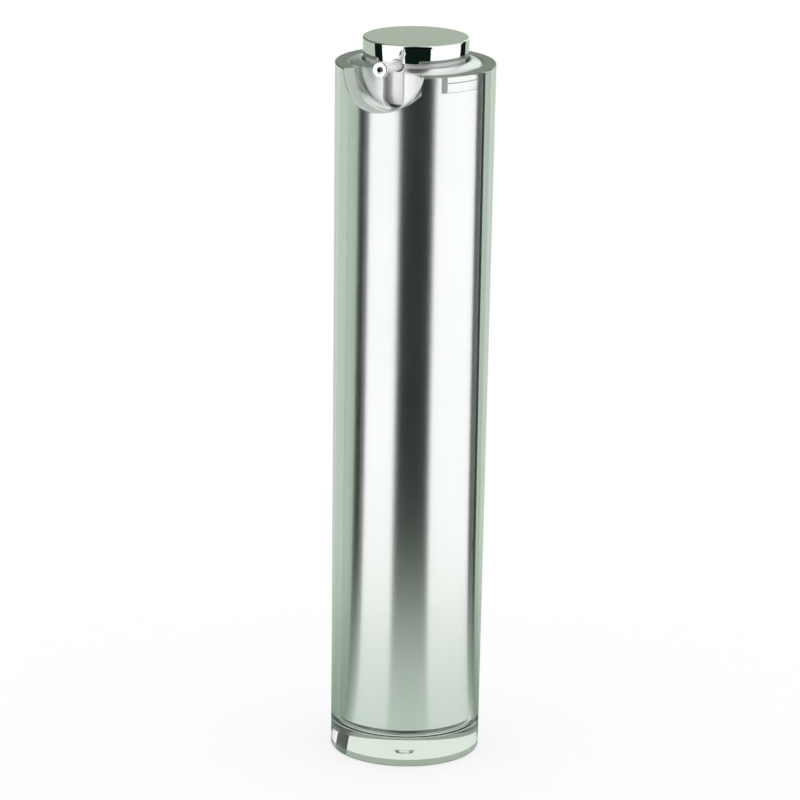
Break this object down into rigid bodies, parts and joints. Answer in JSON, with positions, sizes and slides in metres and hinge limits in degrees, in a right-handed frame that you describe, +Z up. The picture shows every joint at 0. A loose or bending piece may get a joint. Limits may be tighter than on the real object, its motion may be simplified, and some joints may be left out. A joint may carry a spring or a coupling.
{
  "type": "airless pump bottle",
  "caption": "Round airless pump bottle with a thick clear sleeve, silver inner bottle and collar, chrome press button and slim side nozzle in a round notch.",
  "frame": {"origin": "centre of the underside of the base", "axes": "+Z up along the bottle's axis, the nozzle points along -Y"},
  "size_m": [0.035, 0.0389, 0.1618],
  "materials": {
    "clear_plastic": "polished clear acrylic",
    "satin_silver": "smooth silver metallised plastic",
    "chrome": "mirror chrome plating on plastic",
    "white_plastic": "smooth moulded white",
    "seal": "soft matt seal",
    "steel": "polished steel"
  },
  "bodies": {
    "bottle": {"base_plug": "clear_plastic", "outer_sleeve": "clear_plastic", "inner_bottle": "satin_silver", "vent_disc": "satin_silver", "neck_gasket": "seal", "pump_chamber": "white_plastic", "inlet_seat": "white_plastic", "ball_cage": "white_plastic", "return_spring": "steel", "stem_guide": "white_plastic", "pump_closure": "white_plastic", "shoulder_collar": "satin_silver", "snap_band": "clear_plastic"},
    "head": {"button_cap": "chrome", "actuator_core": "satin_silver", "nozzle_tube": "chrome", "nozzle_tip": "chrome", "pump_stem": "white_plastic"},
    "follower": {"follower_piston": "white_plastic"},
    "seal": {"seal_piston": "white_plastic"},
    "ball": {"inlet_ball": "steel"}
  },
  "joints": [
    {"name": "head_press", "type": "slide", "parent": "bottle", "child": "head", "axis": [0, 0, -1], "range_m": [0, 0.006], "stiffness_N_per_m": 1200, "springref_m": -0.004, "deforming": ["return_spring"]},
    {"name": "follower_rise", "type": "slide", "parent": "bottle", "child": "follower", "axis": [0, 0, 1], "range_m": [0, 0.09]},
    {"name": "seal_play", "type": "slide", "parent": "head", "child": "seal", "axis": [0, 0, 1], "range_m": [0, 0.0012]},
    {"name": "ball_lift", "type": "slide", "parent": "bottle", "child": "ball", "axis": [0, 0, 1], "range_m": [0, 0.001]}
  ]
}
